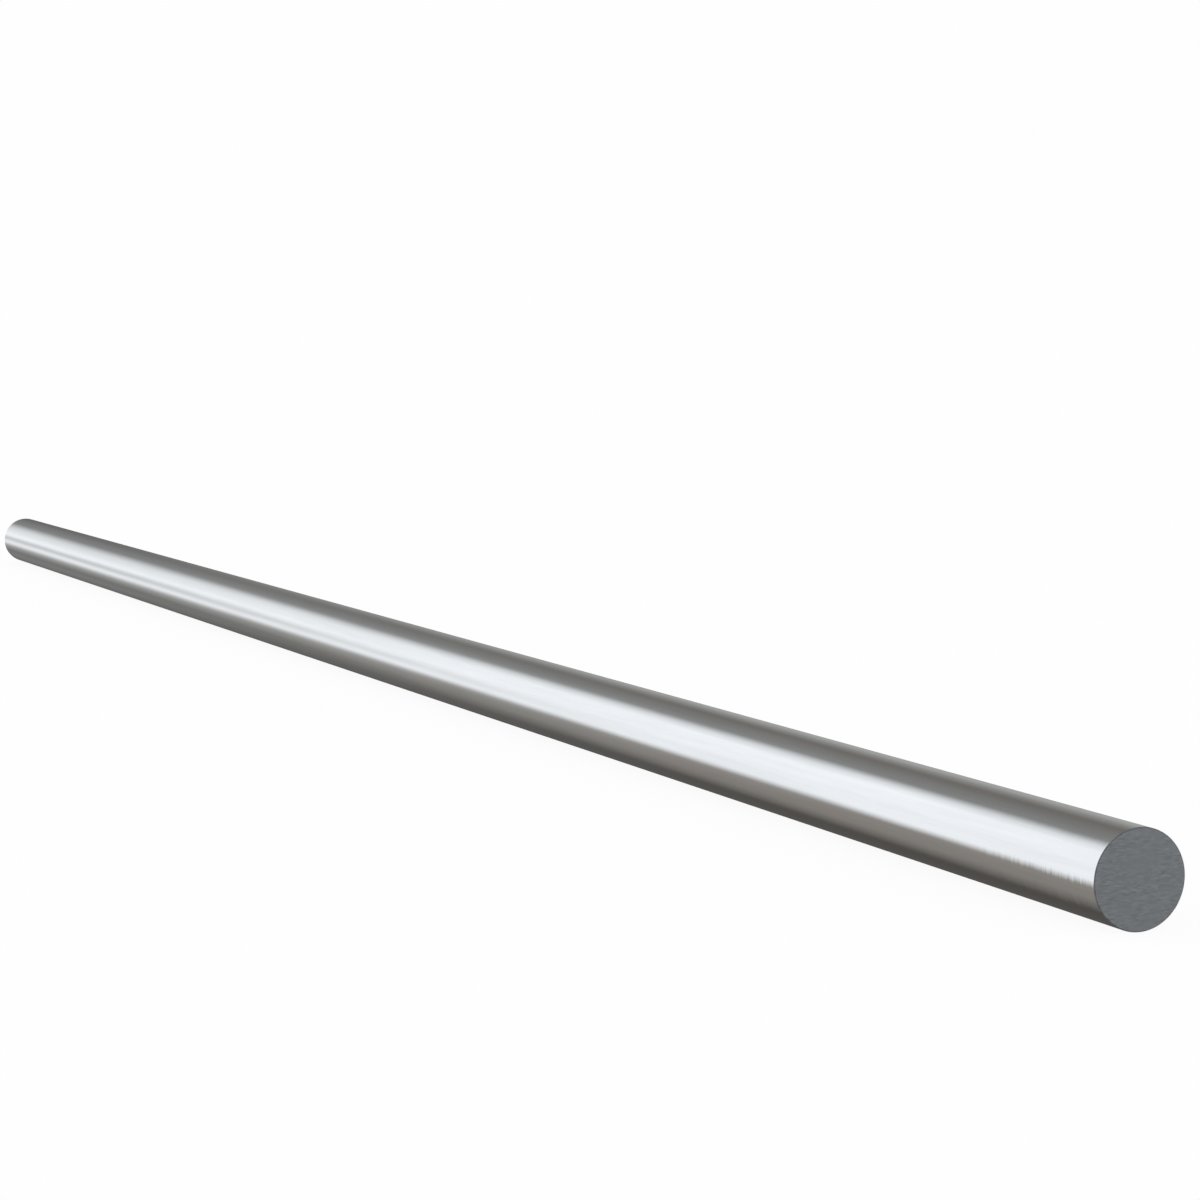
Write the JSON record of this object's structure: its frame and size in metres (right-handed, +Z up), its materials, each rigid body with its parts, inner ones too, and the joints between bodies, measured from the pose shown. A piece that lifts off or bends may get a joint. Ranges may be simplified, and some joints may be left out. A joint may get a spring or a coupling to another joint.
{
  "type": "round metal bar",
  "caption": "Straight solid round steel bar with a bright drawn side and square sawn, deburred ends, for shafts, pins, rails, rollers and welded frames.",
  "frame": {"origin": "middle of the line along which the bar rests on a level floor, half way along its length", "axes": "+X along the bar's axis towards the end that the picture shows nearest, +Z up from the floor, +Y level across the bar"},
  "size_m": [1.2, 0.025, 0.025],
  "materials": {
    "bright_steel": "satin"
  },
  "bodies": {
    "root": {"round_bar": "bright_steel"}
  },
  "joints": []
}
